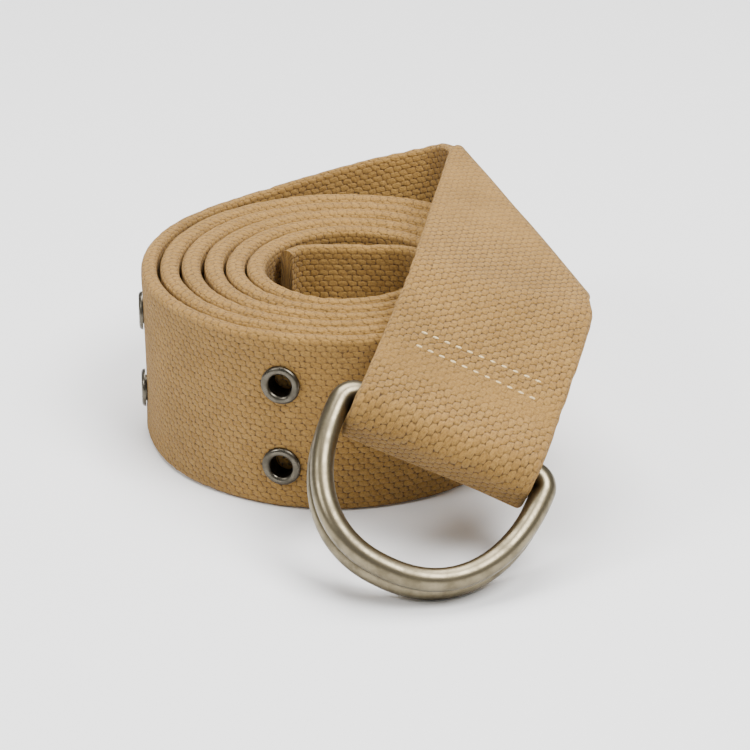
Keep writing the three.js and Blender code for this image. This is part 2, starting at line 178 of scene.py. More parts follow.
class NodeGraph:
    """A material's node tree, built by short calls."""

    def __init__(self, name: str) -> None:
        """Starts an empty material with a Principled shader.

        Args:
            name: Name of the material.
        """
        self.material = bpy.data.materials.new(name)
        self.material.use_nodes = True
        self.tree = self.material.node_tree
        self.tree.nodes.clear()
        self.shader = self.tree.nodes.new("ShaderNodeBsdfPrincipled")
        output = self.tree.nodes.new("ShaderNodeOutputMaterial")
        self.tree.links.new(self.shader.outputs["BSDF"], output.inputs["Surface"])

    def feed(self, socket: Socket, value: Value) -> None:
        """Links a socket into another, or sets it to a constant.

        Args:
            socket: The input to set.
            value: Another node's output, or the constant.
        """
        if isinstance(value, Socket):
            self.tree.links.new(value, socket)
        else:
            socket.default_value = value

    def shade(self, **values: Value) -> None:
        """Sets inputs of the Principled shader.

        Args:
            values: Input names, with spaces written as underscores, and their values.
        """
        for name, value in values.items():
            self.feed(self.shader.inputs[name.replace("_", " ")], value)

    def math(self, operation: Op, first: Value, second: Value | None = None) -> Socket:
        """One step of arithmetic.

        Args:
            operation: What to do.
            first: Left-hand value.
            second: Right-hand value, where there is one.

        Returns:
            The result's socket.
        """
        node = self.tree.nodes.new("ShaderNodeMath")
        node.operation = operation.value
        self.feed(node.inputs[0], first)
        if second is not None:
            self.feed(node.inputs[1], second)
        return node.outputs[0]

    def noise(self, vector: Socket, scale: float, detail: float = 2, roughness: float = 0.5) -> Socket:
        """Soft random values.

        Args:
            vector: Where to read them.
            scale: How many lumps there are per unit.
            detail: How many finer layers are added.
            roughness: How strong those layers are.

        Returns:
            A socket with values around 0.5.
        """
        node = self.tree.nodes.new("ShaderNodeTexNoise")
        self.feed(node.inputs["Vector"], vector)
        node.inputs["Scale"].default_value = scale
        node.inputs["Detail"].default_value = detail
        node.inputs["Roughness"].default_value = roughness
        return node.outputs["Fac"]

    def ramp(self, value: Value, low: float, high: float, bottom: float = 0, top: float = 1) -> Socket:
        """A smooth step from one value to another.

        Args:
            value: The socket that drives it.
            low: Where the step starts.
            high: Where the step ends.
            bottom: Result below the start.
            top: Result above the end.

        Returns:
            The result's socket.
        """
        node = self.tree.nodes.new("ShaderNodeMapRange")
        node.interpolation_type = "SMOOTHSTEP"
        self.feed(node.inputs["Value"], value)
        node.inputs["From Min"].default_value = low
        node.inputs["From Max"].default_value = high
        node.inputs["To Min"].default_value = bottom
        node.inputs["To Max"].default_value = top
        return node.outputs["Result"]

    def blend(self, share: Value, first: Value, second: Value) -> Socket:
        """A colour between two colours.

        Args:
            share: How much of the second colour.
            first: The first colour.
            second: The second colour.

        Returns:
            The mixed colour's socket.
        """
        node = self.tree.nodes.new("ShaderNodeMix")
        node.data_type = "RGBA"
        self.feed(node.inputs["Factor"], share)
        self.feed(node.inputs["A"], first)
        self.feed(node.inputs["B"], second)
        return node.outputs["Result"]

    def vector(self, x: Value, y: Value, z: Value = 0.0) -> Socket:
        """Three values as one vector.

        Args:
            x: First value.
            y: Second value.
            z: Third value.

        Returns:
            The vector's socket.
        """
        node = self.tree.nodes.new("ShaderNodeCombineXYZ")
        for socket, value in zip(node.inputs, (x, y, z)):
            self.feed(socket, value)
        return node.outputs["Vector"]

    def surface_place(self) -> tuple[Socket, Socket]:
        """The piece's own UV map, split in two.

        Returns:
            Sockets of the place along and the place across.
        """
        uv = self.tree.nodes.new("ShaderNodeUVMap")
        uv.uv_map = "flat"
        split = self.tree.nodes.new("ShaderNodeSeparateXYZ")
        self.tree.links.new(uv.outputs["UV"], split.inputs["Vector"])
        return split.outputs["X"], split.outputs["Y"]

    def object_place(self) -> Socket:
        """The place on the object, in metres."""
        return self.tree.nodes.new("ShaderNodeTexCoord").outputs["Object"]

    def bump(self, height: Socket, depth: float) -> None:
        """Gives the surface a fine relief.

        Args:
            height: Socket with the relief's height from 0 to 1.
            depth: The relief's full depth in metres.
        """
        node = self.tree.nodes.new("ShaderNodeBump")
        node.inputs["Distance"].default_value = depth
        node.inputs["Strength"].default_value = 1.0
        self.feed(node.inputs["Height"], height)
        self.tree.links.new(node.outputs["Normal"], self.shader.inputs["Normal"])


@dataclass(frozen=True)
class Wear:
    """A stretch of the strap that is worn smoother.

    Attributes:
        start: Where it starts, as a distance from the tip.
        stop: Where it ends.
        soft: Length over which it fades at each end.
        amount: How worn it is, from 0 to 1.
    """

    start: float
    stop: float
    soft: float
    amount: float


@dataclass(frozen=True)
class Weave:
    """The sockets of one weave.

    Attributes:
        from_middle: Distance from the middle of the nearest float, along it, as a share of its length.
        mound: How high the float stands, from 0 to 1.
        pick: Number of the float in its row, with the place along it as the fraction.
        row: Number of the row.
    """

    from_middle: Socket
    mound: Socket
    pick: Socket
    row: Socket


@dataclass(frozen=True)
class WebbingFinish:
    """Heavy cotton webbing, woven in staggered oval floats with painted shade in the pits at their
    ends, worn smoother at its fold and its end.
    """

    float_length: float = 2.05
    floats_across: int = 32
    face_arc: float = 39.96
    relief: float = 0.0005
    raised: tuple = (0.318, 0.168, 0.037, 1)
    # The next colour is painted shade, laid into the pits at the floats' ends.
    pit_shade_colour: tuple = (0.086, 0.045, 0.015, 1)
    worn: tuple = (0.335, 0.176, 0.038, 1)
    faded: tuple = (0.425, 0.244, 0.063, 1)
    wobble: float = 0.72
    twist: float = 0.15
    end_fullness: float = 2.2
    side_fullness: float = 2.6
    side_depth: float = 0.58
    thread_variety: float = 0.14
    edge_wear: float = 0.42
    worn_spans: tuple[Wear, ...] = ()

    def material(self) -> bpy.types.Material:
        """Builds the material.

        Returns:
            The webbing material.
        """
        g = NodeGraph("webbing")
        along, across = g.surface_place()
        flat = g.vector(along, across)
        weave = self.weave(g, along, across, flat)
        wear = self.wear(g, along, across, flat)
        fibre = self.fibre(g, along, across)
        colour = self.colour(g, weave, wear, fibre, flat)
        loose = g.math(Op.SUBTRACT, 1.0, g.math(Op.MULTIPLY, wear, 0.72))
        threads = g.math(Op.MULTIPLY, weave.mound, loose)
        g.bump(g.math(Op.ADD, threads, g.math(Op.MULTIPLY, fibre, 1.15)), self.relief)
        g.shade(Base_Color=colour, Roughness=0.93, Specular_IOR_Level=0.25)
        g.shade(Sheen_Weight=0.08, Sheen_Roughness=0.5)
        return g.material

    def weave(self, g: NodeGraph, along: Socket, across: Socket, flat: Socket) -> Weave:
        """Lays out staggered floats in rows along the strap.

        Args:
            g: The material's graph.
            along: The place along the strap.
            across: The place round the strap's section.
            flat: The place on the flat strap.

        Returns:
            The weave's sockets.
        """
        drift = g.math(Op.SUBTRACT, g.noise(flat, 0.7, 3), 0.5)
        sway = g.math(Op.SUBTRACT, g.noise(g.vector(across, along), 0.5, 2), 0.5)
        strayed_along = g.math(Op.ADD, along, g.math(Op.MULTIPLY, drift, self.wobble * 2))
        strayed_across = g.math(Op.ADD, across, g.math(Op.MULTIPLY, sway, self.wobble))
        rows = g.math(Op.DIVIDE, strayed_across, self.face_arc / self.floats_across)
        row = g.math(Op.FLOOR, rows)
        stagger = g.math(Op.MULTIPLY, g.math(Op.MODULO, row, 2.0), 0.5)
        from_row = g.math(Op.SUBTRACT, g.math(Op.FRACTION, rows), 0.5)
        slant = g.math(Op.ADD, stagger, g.math(Op.MULTIPLY, from_row, self.twist))
        pick = g.math(Op.ADD, g.math(Op.DIVIDE, strayed_along, self.float_length), slant)
        from_middle = g.math(Op.SUBTRACT, g.math(Op.FRACTION, pick), 0.5)
        to_end = g.math(Op.ABSOLUTE, g.math(Op.MULTIPLY, from_middle, 1.95))
        to_side = g.math(Op.ABSOLUTE, g.math(Op.MULTIPLY, from_row, 2))
        end_fall = g.math(Op.POWER, to_end, self.end_fullness)
        side_fall = g.math(Op.MULTIPLY, g.math(Op.POWER, to_side, self.side_fullness), self.side_depth)
        oval = g.math(Op.ADD, end_fall, side_fall)
        mound = g.math(Op.POWER, g.math(Op.MAXIMUM, g.math(Op.SUBTRACT, 1.0, oval), 0.0), 0.8)
        return Weave(from_middle, mound, pick, row)

    def fibre(self, g: NodeGraph, along: Socket, across: Socket) -> Socket:
        """Fine strands that run aslant over the floats.

        Args:
            g: The material's graph.
            along: The place along the strap.
            across: The place round the strap's section.

        Returns:
            The strands' socket.
        """
        slant = g.math(Op.ADD, g.math(Op.MULTIPLY, across, 2.6), g.math(Op.MULTIPLY, along, 1.3))
        return g.noise(g.vector(g.math(Op.MULTIPLY, along, 0.9), slant), 1.3, 5, 0.75)

    def colour(self, g: NodeGraph, weave: Weave, wear: Socket, fibre: Socket, flat: Socket) -> Socket:
        """Colours the threads, paints shade into the pits at their ends, and colours the worn cloth.

        Args:
            g: The material's graph.
            weave: The weave.
            wear: How worn the cloth is.
            fibre: The fine strands.
            flat: The place on the flat strap.

        Returns:
            The colour's socket.
        """
        cell = g.tree.nodes.new("ShaderNodeTexWhiteNoise")
        cell.noise_dimensions = "2D"
        g.feed(cell.inputs["Vector"], g.vector(g.math(Op.FLOOR, weave.pick), weave.row))
        own = g.math(Op.MULTIPLY, cell.outputs["Value"], self.thread_variety)
        tint = g.math(Op.ADD, own, g.math(Op.MULTIPLY, fibre, 1 - self.thread_variety))
        thread = g.blend(g.ramp(tint, 0.24, 0.78), self.raised, self.faded)
        # Painted shade: the weave's low ground is darkened, most at the floats' ends, where shade falls
        # between the floats.
        shade_towards_ends = g.ramp(g.math(Op.ABSOLUTE, weave.from_middle), 0.2, 0.44, 0.4, 1)
        painted_pit_shade = g.math(Op.MULTIPLY, g.ramp(weave.mound, 0.0, 0.5, 1, 0), shade_towards_ends)
        uneven = g.ramp(g.noise(flat, 0.9, 3), 0.35, 0.65, 0.55, 1)
        # The woven colour carries that painted pit shade.
        woven = g.blend(g.math(Op.MULTIPLY, painted_pit_shade, uneven), thread, self.pit_shade_colour)
        smooth_cloth = g.blend(fibre, self.worn, self.faded)
        patch = g.ramp(g.noise(flat, 0.05, 4, 0.6), 0.3, 0.72, 0.88, 1.08)
        grain = g.ramp(g.noise(flat, 1.9, 3, 0.7), 0.3, 0.62, 0.72, 1.08)
        level = g.tree.nodes.new("ShaderNodeHueSaturation")
        g.feed(level.inputs["Color"], g.blend(g.math(Op.MULTIPLY, wear, 0.7), woven, smooth_cloth))
        g.feed(level.inputs["Value"], g.math(Op.MULTIPLY, patch, grain))
        return level.outputs["Color"]

    def wear(self, g: NodeGraph, along: Socket, across: Socket, flat: Socket) -> Socket:
        """How worn the cloth is, from 0 to 1: in patches, at the selvedges and over the given spans.

        Args:
            g: The material's graph.
            along: The place along the strap.
            across: The place round the strap's section.
            flat: The place on the flat strap.

        Returns:
            The wear's socket.
        """
        patches = g.ramp(g.noise(flat, 0.12, 4, 0.65), 0.5, 0.75, 0.0, 0.4)
        from_edge = g.math(Op.ABSOLUTE, across)
        inset = g.math(Op.MINIMUM, from_edge, g.math(Op.SUBTRACT, self.face_arc, from_edge))
        ragged = g.math(Op.ADD, inset, g.math(Op.MULTIPLY, g.noise(flat, 0.35, 3), 2.4))
        total = g.math(Op.MAXIMUM, patches, g.ramp(ragged, 2.4, 4.6, self.edge_wear, 0))
        for span in self.worn_spans:
            rise = g.ramp(along, span.start - span.soft, span.start + span.soft)
            fall = g.ramp(along, span.stop - span.soft, span.stop + span.soft, 1, 0)
            broken = g.ramp(g.noise(flat, 0.3, 3), 0.3, 0.6, 0.6 * span.amount, span.amount)
            worn = g.math(Op.MULTIPLY, g.math(Op.MULTIPLY, rise, fall), broken)
            total = g.math(Op.MAXIMUM, total, worn)
        return total


@dataclass(frozen=True)
class MetalFinish:
    """Aged nickel plate: satin, a little blotched, with fine scratches."""

    name: str = "ring_metal"
    bright: tuple = (0.235, 0.198, 0.128, 1)
    dull: tuple = (0.100, 0.083, 0.050, 1)
    polished: float = 0.28
    rough: float = 0.42
    blotch: float = 330.0
    scratch_depth: float = 0.00003

    def material(self) -> bpy.types.Material:
        """Builds the material.

        Returns:
            The metal material.
        """
        g = NodeGraph(self.name)
        place = g.object_place()
        cloud = g.noise(place, self.blotch, 5, 0.62)
        speck = g.noise(place, self.blotch * 7, 3, 0.6)
        age = g.ramp(cloud, 0.3, 0.75, 0.1, 0.8)
        tarnish = g.ramp(speck, 0.62, 0.75, 0, 0.7)
        colour = g.blend(g.math(Op.MAXIMUM, age, tarnish), self.bright, self.dull)
        roughness = g.ramp(cloud, 0.3, 0.7, self.polished, self.rough)
        g.shade(Base_Color=colour, Metallic=1.0, Roughness=roughness)
        g.bump(g.math(Op.ADD, g.math(Op.MULTIPLY, speck, 0.4), cloud), self.scratch_depth)
        return g.material


@dataclass(frozen=True)
class ThreadFinish:
    """Cream sewing thread, twisted and matte."""

    pale: tuple = (0.86, 0.68, 0.38, 1)
    shaded: tuple = (0.62, 0.45, 0.22, 1)
    ply: float = 3500
    ply_depth: float = 0.00008

    def material(self) -> bpy.types.Material:
        """Builds the material.

        Returns:
            The thread material.
        """
        g = NodeGraph("thread")
        ply = g.noise(g.object_place(), self.ply, 3, 0.6)
        g.shade(Base_Color=g.blend(g.ramp(ply, 0.35, 0.65), self.shaded, self.pale), Roughness=0.85)
        g.bump(ply, self.ply_depth)
        return g.material


@dataclass(frozen=True)
class StrapFrame:
    """A place on the strap's middle line.

    Attributes:
        middle: The place.
        along: The strap's running direction there.
        across: Its width direction.
        flat: Its distance from the tip, along the strap.
    """

    middle: Vector
    along: Vector
    across: Vector
    flat: float = 0.0

    @property
    def normal(self) -> Vector:
        """The direction out of the strap's outer face."""
        return self.across.cross(self.along)


def make_frame(middle: Vector, along: Vector, across: Vector, flat: float = 0.0) -> StrapFrame:
    """Squares a width direction up to a running direction.

    Args:
        middle: Place on the middle line.
        along: Running direction, of any length.
        across: Rough width direction.
        flat: Distance from the tip.

    Returns:
        The frame.
    """
    run = along.normalized()
    return StrapFrame(middle.copy(), run, (across - run * across.dot(run)).normalized(), flat)


@dataclass
class StrapRow:
    """A row of places across the strap.

    Attributes:
        points: Places on the middle surface, one for each station.
        normals: Outward directions there.
        flats: Distances along the flat strap.
        frame: The frame at the row's middle.
    """

    points: list[Vector]
    normals: list[Vector]
    flats: list[float]
    frame: StrapFrame


@dataclass(frozen=True)
class Section:
    """The webbing's cross-section, flat with rounded selvedges."""

    width: float = STRAP_WIDTH
    thickness: float = 2.7
    edge_round: float = 1.1
    edge_steps: int = 4
    face_steps: int = 29

    @property
    def half_width(self) -> float:
        """Half the strap's width."""
        return self.width / 2

    def stations(self) -> list[tuple[float, float]]:
        """Places across the strap and the half thickness at each.

        Returns:
            Pairs of a width coordinate, from the upper edge to the lower, and a half thickness.
        """
        upper = []
        for i in range(self.edge_steps):
            angle = math.pi / 2 * i / self.edge_steps
            inset = self.edge_round * (1 - math.cos(angle))
            upper.append((self.half_width - inset, self.thickness / 2 * math.sin(angle)))
        flat = self.half_width - self.edge_round
        spans = [1 - 2 * i / self.face_steps for i in range(self.face_steps + 1)]
        face = [(flat * share, self.thickness / 2) for share in spans]
        lower = [(-width, half) for width, half in reversed(upper)]
        return upper + face + lower

    def arcs(self) -> list[float]:
        """Measures round the section.

        Returns:
            The distance from the upper edge to each station.
        """
        stations = self.stations()
        total = [0.0]
        for (width, half), (next_width, next_half) in zip(stations, stations[1:]):
            total.append(total[-1] + math.hypot(next_width - width, next_half - half))
        return total


@dataclass(frozen=True)
class Sides:
    """A size of the coil that differs to the right, at the back, to the left and at the front."""

    right: float
    back: float
    left: float
    front: float

    def towards(self, azimuth: float) -> float:
        """Blends the four sizes.

        Args:
            azimuth: Direction from the coil's centre, in radians.

        Returns:
            The size in that direction.
        """
        mean = (self.right + self.back + self.left + self.front) / 4
        oval = (self.right + self.left - self.back - self.front) / 4
        sideways = (self.right - self.left) / 2 * math.cos(azimuth)
        lengthways = (self.back - self.front) / 2 * math.sin(azimuth)
        return mean + sideways + lengthways + oval * math.cos(2 * azimuth)


@dataclass
class Coil:
    """The wound part of the strap, clockwise from its loose tip."""

    centre: Vector = field(default_factory=lambda: Vector((-6.4, 16.9)))
    tip_azimuth: float = 156
    row_step: float = 2.5
    starts: Sides = Sides(right=16.4, back=14.3, left=14.4, front=18.6)
    pitches: Sides = Sides(right=3.7, back=5.0, left=4.6, front=3.85)
    tip_chord: float = 9.2
    tip_sharpness: float = 8
    tip_free_azimuth: float = 4
    turns: float = 6.08
    height: float = STRAP_WIDTH / 2
    frame_step: float = 1e-3
    bend_step: float = 1e-2

    def azimuth(self, turns: float) -> float:
        """Direction from the centre, in radians, after a number of turns."""
        return math.radians(self.tip_azimuth - 360 * turns)

    def radius(self, turns: float) -> float:
        """Radius of the strap's middle. The loose tip cuts straight across the eye.

        Args:
            turns: Turns from the tip.

        Returns:
            The radius.
        """
        azimuth = self.azimuth(turns)
        wound = self.starts.towards(azimuth) + self.pitches.towards(azimuth) * turns
        if turns > (self.tip_azimuth - self.tip_free_azimuth) / 360:
            return wound
        chord = self.tip_chord / math.sin(azimuth)
        sharpness = self.tip_sharpness
        return (wound**-sharpness + chord**-sharpness) ** (-1 / sharpness)

    def point(self, turns: float) -> Vector:
        """Place of the strap's middle.

        Args:
            turns: Turns from the tip.

        Returns:
            The place.
        """
        azimuth = self.azimuth(turns)
        radius = self.radius(turns)
        x = self.centre.x + radius * math.cos(azimuth)
        return Vector((x, self.centre.y + radius * math.sin(azimuth), self.height))

    def frame(self, turns: float, flat: float = 0.0) -> StrapFrame:
        """Frame of the strap after a number of turns.

        Args:
            turns: Turns from the tip.
            flat: Distance from the tip.

        Returns:
            The frame.
        """
        along = self.point(turns + self.frame_step) - self.point(turns - self.frame_step)
        return make_frame(self.point(turns), along, UP, flat)

    def bend_radius(self, turns: float) -> float:
        """Radius of the strap's own bend.

        Args:
            turns: Turns from the tip.

        Returns:
            The radius.
        """
        behind = self.frame(turns - self.bend_step)
        ahead = self.frame(turns + self.bend_step)
        return (behind.middle - ahead.middle).length / behind.along.angle(ahead.along)


@dataclass
class Fold:
    """The soft diagonal fold: upright tail, round bend, flat front run."""

    top: Vector = field(default_factory=lambda: Vector((18.0, 57.1, 51.7)))
    foot: Vector = field(default_factory=lambda: Vector((45.6, -6.1, 38.0)))
    radius: float = 4.2
    opening: float = 101
    margin: float = 1.0
    bend_steps: int = 20
    flat_steps: int = 26
    strap_width: float = STRAP_WIDTH
    corner_draw: float = 2.2
    corner_reach: float = 5.0

    def __post_init__(self) -> None:
        """Works out the crease's directions."""
        crease = self.foot - self.top
        self.slant = math.asin(self.strap_width / max(self.strap_width, crease.length))
        self.axis = crease.normalized()
        outward = Vector((-self.axis.y, self.axis.x, 0)).normalized()
        self.to_tail = outward.cross(self.axis).normalized()
        opening = math.radians(self.opening)
        self.to_front = self.to_tail * math.cos(opening) - outward * math.sin(opening)
        self.centre = (self.top + self.foot) / 2
        self.arc = self.radius * (math.pi - opening) / 2
        half = self.strap_width / 2
        self.reach = (self.arc + half * math.cos(self.slant)) / math.sin(self.slant) + self.margin

    def profile(self, from_crease: float) -> tuple[Vector, Vector]:
        """Profile of the bend in the plane across the crease.

        Args:
            from_crease: Distance from the middle of the bend.

        Returns:
            The place in that plane and the running direction.
        """
        half = math.radians(self.opening) / 2
        inward = (self.to_tail + self.to_front).normalized()
        side = (self.to_front - inward * self.to_front.dot(inward)).normalized()
        sign = math.copysign(1, from_crease)
        angle = min(abs(from_crease), self.arc) / self.radius
        point = inward * (self.radius / math.sin(half) - self.radius * math.cos(angle))
        point += side * (sign * self.radius * math.sin(angle))
        direction = inward * (math.sin(angle) * sign) + side * math.cos(angle)
        beyond = abs(from_crease) - self.arc
        if beyond > 0:
            point += direction * (sign * beyond)
        return point, direction

    def place(self, along: float, width: float) -> tuple[Vector, Vector, Vector]:
        """A place on the folded strap.

        Args:
            along: Distance along the strap from the fold's middle.
            width: Distance across the strap.

        Returns:
            The place, and the running and width directions there.
        """
        cos, sin = math.cos(self.slant), math.sin(self.slant)
        point, direction = self.profile(along * sin + width * cos)
        spot = self.centre + self.axis * (along * cos - width * sin) + point
        return spot, self.axis * cos + direction * sin, self.axis * -sin + direction * cos

    def drawn_in(self, along: float, width: float) -> float:
        """How far the crease's corners are drawn in towards the strap's middle.

        Args:
            along: Distance along the strap from the fold's middle.
            width: Distance across the strap.

        Returns:
            The move across the strap.
        """
        from_crease = along * math.sin(self.slant) + width * math.cos(self.slant)
        near = max(0.0, 1 - abs(from_crease) / self.corner_reach)
        return self.corner_draw * near**2 * (abs(width) / (self.strap_width / 2)) ** 3

    def row(self, along: float, slope: float, widths: list[float], flat: float) -> StrapRow:
        """A row of the fold, square at slope 0 and along the crease at slope 1.

        Args:
            along: Distance along the strap from the fold's middle.
            slope: How far the row leans.
            widths: Distances across the strap.
            flat: Distance from the tip to the fold's middle.

        Returns:
            The row.
        """
        lean = slope / math.tan(self.slant)
        points, normals = [], []
        for width in widths:
            at = along - width * lean
            drawn = math.copysign(self.drawn_in(at, width), width)
            point, run, across = self.place(at, width - drawn)
            points.append(point)
            normals.append(across.cross(run))
        frame = make_frame(*self.place(along, 0), flat + along)
        return StrapRow(points, normals, [flat + along - width * lean for width in widths], frame)

    def rows(self, widths: list[float], start: float) -> list[StrapRow]:
        """All rows of the fold.

        Args:
            widths: Distances across the strap.
            start: Distance from the tip to the fold's first row.

        Returns:
            The rows.
        """
        bend = self.arc / math.sin(self.slant)
        flat = start + self.reach
        steps = []
        for i in range(self.flat_steps):
            share = i / self.flat_steps
            steps.append((-self.reach + (self.reach - bend) * share, share))
        steps += [(bend * (2 * i / self.bend_steps - 1), 1) for i in range(self.bend_steps + 1)]
        for i in range(1, self.flat_steps + 1):
            share = i / self.flat_steps
            steps.append((bend + (self.reach - bend) * share, 1 - share))
        return [self.row(along, slope, widths, flat) for along, slope in steps]


@dataclass
class RingPair:
    """Places of the two stacked D-rings and of the end loop round their bars."""

    bar_centre: Vector = field(default_factory=lambda: Vector((14.1, -43.0, 26.02)))
    bar_across: Vector = field(default_factory=lambda: Vector((0.91, -0.192, -0.368)))
    face_hint: Vector = field(default_factory=lambda: Vector((0.153, -0.671, 0.726)))
    wire_radius: float = 2.3
    gap: float = 0.3

    def __post_init__(self) -> None:
        """Squares the directions up."""
        self.across = self.bar_across.normalized()
        self.face = (self.face_hint - self.across * self.face_hint.dot(self.across)).normalized()
        self.bow = self.across.cross(self.face)

    def centre(self, index: int) -> Vector:
        """Middle of a ring's bar, the front ring being 0."""
        return self.bar_centre - self.face * (index * (2 * self.wire_radius + self.gap))

    def place(self, index: int) -> Matrix:
        """Matrix from a ring's own plane to its place."""
        return basis(self.across, self.bow, self.across.cross(self.bow), self.centre(index))


@dataclass
class StrapPath:
    """All rows of the strap, from the tip to the end of the return flap."""

    section: Section = field(default_factory=Section)
    coil: Coil = field(default_factory=Coil)
    fold: Fold = field(default_factory=Fold)
    rings: RingPair = field(default_factory=RingPair)
    tail_rows: int = 44
    tail_pull: float = 0.29
    front_tilt: float = 17.5
    front_rows: int = 30
    front_pull: float = 0.16
    loop_gap: float = 0.6
    loop_slack: float = 0.2
    loop_rows: int = 20
    flap_length: float = 22
    flap_climb_start: float = 1
    flap_climb: float = 12
    flap_rows: int = 18
    flap_gap: float = 0.35
    sag_left: float = 1.5
    sag_reach: float = 12
    sag_power: float = 1.3

    def __post_init__(self) -> None:
        """Builds the rows and remembers where the fold and the loop lie."""
        self.widths = [width for width, _ in self.section.stations()]
        self.rows = self.coil_rows()
        bend = self.fold.rows(self.widths, 0.0)
        self.rows += self.bridge(self.rows[-1].frame, bend[0].frame, self.tail_rows, self.tail_pull)
        last = self.rows[-1].frame
        start = last.flat + (bend[0].frame.middle - last.middle).length
        bend = self.fold.rows(self.widths, start)
        self.rows += bend
        self.fold_flat = start + self.fold.reach
        loop = self.loop()
        front = self.bridge(bend[-1].frame, loop[0].frame, self.front_rows, self.front_pull)
        flap = self.flap(front, loop)
        self.front = front + loop[:1]
        self.follow(front[-1].frame, loop + flap)
        self.loop_flat = loop[0].frame.flat
        self.sag(front + loop + flap, loop[-1].frame.flat)
        self.rows += front + loop + flap

    def square_row(self, frame: StrapFrame) -> StrapRow:
        """A row square to the strap.

        Args:
            frame: The frame at its middle.

        Returns:
            The row.
        """
        points = [frame.middle + frame.across * width for width in self.widths]
        return StrapRow(points, [frame.normal] * len(points), [frame.flat] * len(points), frame)

    def sag(self, rows: list[StrapRow], loop_end: float) -> None:
        """Lets the loop hang lower on the left, where it isn't pulled tight.

        Args:
            rows: Rows of the front run, the loop and the flap, changed in place.
            loop_end: Distance from the tip to the end of the loop.
        """
        half = self.section.half_width
        for row in rows:
            flat = row.frame.flat
            before = (flat - self.loop_flat + self.sag_reach) / self.sag_reach
            after = (loop_end + self.sag_reach - flat) / self.sag_reach
            deepest = self.sag_left * smooth(clamp(min(before, after)))
            drops = [deepest * ((width / half + 1) / 2) ** self.sag_power for width in self.widths]
            row.points = [point + self.rings.bow * drop for point, drop in zip(row.points, drops)]

    def follow(self, before: StrapFrame, rows: list[StrapRow]) -> None:
        """Measures the flat distance on along square rows that were made without it.

        Args:
            before: Frame of the row before them.
            rows: The rows, changed in place.
        """
        last, flat = before.middle, before.flat
        for row in rows:
            flat += (row.frame.middle - last).length
            last = row.frame.middle
            row.frame = StrapFrame(last, row.frame.along, row.frame.across, flat)
            row.flats = [flat] * len(row.flats)

    def coil_rows(self) -> list[StrapRow]:
        """Rows of the coil.

        Returns:
            The rows.
        """
        step = self.coil.row_step / 360
        count = int(self.coil.turns / step) + 1
        turns = [i * step for i in range(count)] + [self.coil.turns]
        rows, flat = [], 0.0
        for i, turn in enumerate(turns):
            frame = self.coil.frame(turn)
            if i:
                flat += (frame.middle - rows[-1].frame.middle).length
            rows.append(self.square_row(StrapFrame(frame.middle, frame.along, frame.across, flat)))
        return rows

    def bridge(self, start: StrapFrame, end: StrapFrame, count: int, pull: float) -> list[StrapRow]:
        """Smooth run between two frames.

        Args:
            start: Frame that it leaves.
            end: Frame that it reaches.
            count: Number of steps.
            pull: Reach of the curve's handles as a share of the run.

        Returns:
            The rows between the two.
        """
        reach = (start.middle - end.middle).length * pull
        handles = (start.middle + start.along * reach, end.middle - end.along * reach)
        points = interpolate_bezier(start.middle, *handles, end.middle, count + 1)
        rows, flat = [], start.flat
        for i in range(1, count):
            flat += (points[i] - points[i - 1]).length
            across = start.across.lerp(end.across, smooth(i / count))
            frame = make_frame(points[i], points[i + 1] - points[i - 1], across, flat)
            rows.append(self.square_row(frame))
        return rows

    def loop(self) -> list[StrapRow]:
        """Rows of the end loop, round the front bar and then the back one.

        Returns:
            The rows.
        """
        rings = self.rings
        tilt = math.radians(self.front_tilt)
        upper = rings.face * math.cos(tilt) - rings.bow * math.sin(tilt)
        run = rings.bow * math.cos(tilt) + rings.face * math.sin(tilt)
        radius = rings.wire_radius + self.loop_gap + self.section.thickness / 2
        bend = math.pi / 2 + tilt
        sweeps = [(0, 0.0, bend, self.loop_rows), (1, bend, math.pi, self.loop_rows // 2)]
        rows = []
        for index, start, stop, steps in sweeps:
            centre = rings.centre(index) + rings.bow * self.loop_slack
            for i in range(steps + 1):
                angle = start + (stop - start) * i / steps
                out = upper * math.cos(angle) + run * math.sin(angle)
                along = run * math.cos(angle) - upper * math.sin(angle)
                rows.append(self.square_row(make_frame(centre + out * radius, along, -rings.across)))
        return rows

    def back_along(self, run: list[StrapRow], distance: float) -> StrapFrame:
        """Frame at a distance back from the last of some rows.

        Args:
            run: The rows.
            distance: How far back.

        Returns:
            The frame.
        """
        left = distance
        for nearer, farther in zip(reversed(run), reversed(run[:-1])):
            near, far = nearer.frame, farther.frame
            length = (near.middle - far.middle).length
            if left <= length:
                share = left / length
                middle = near.middle.lerp(far.middle, share)
                along = near.along.lerp(far.along, share)
                return make_frame(middle, along, near.across.lerp(far.across, share))
            left -= length
        return run[0].frame

    def flap(self, front: list[StrapRow], loop: list[StrapRow]) -> list[StrapRow]:
        """Rows of the return flap, which climbs to the underside of the front run.

        Args:
            front: Rows of the front run.
            loop: Rows of the loop.

        Returns:
            The rows.
        """
        top = loop[0].frame
        start = loop[-1].frame.middle - top.middle
        drop = -start.dot(top.normal)
        lead = start.dot(top.along)
        lying = self.section.thickness + self.flap_gap
        run = front + loop[:1]

        def spot(distance: float) -> tuple[Vector, Vector]:
            """A place on the flap.

            Args:
                distance: How far back from the loop it is.

            Returns:
                The place and the width direction there.
            """
            frame = self.back_along(run, distance)
            climb = smooth(clamp((distance - self.flap_climb_start) / self.flap_climb))
            middle = frame.middle + frame.normal * (-drop + (drop - lying) * climb)
            return middle + frame.along * (lead * (1 - climb)), frame.across

        rows = []
        step = self.flap_length / self.flap_rows
        for i in range(1, self.flap_rows + 1):
            middle, across = spot(i * step)
            along = spot((i + 0.5) * step)[0] - spot((i - 0.5) * step)[0]
            rows.append(self.square_row(make_frame(middle, along, across)))
        return rows


@dataclass
class EyeletPair:
    """Place of one pair of eyelets along the coil."""

    number: int
    turns: float
    flat: float


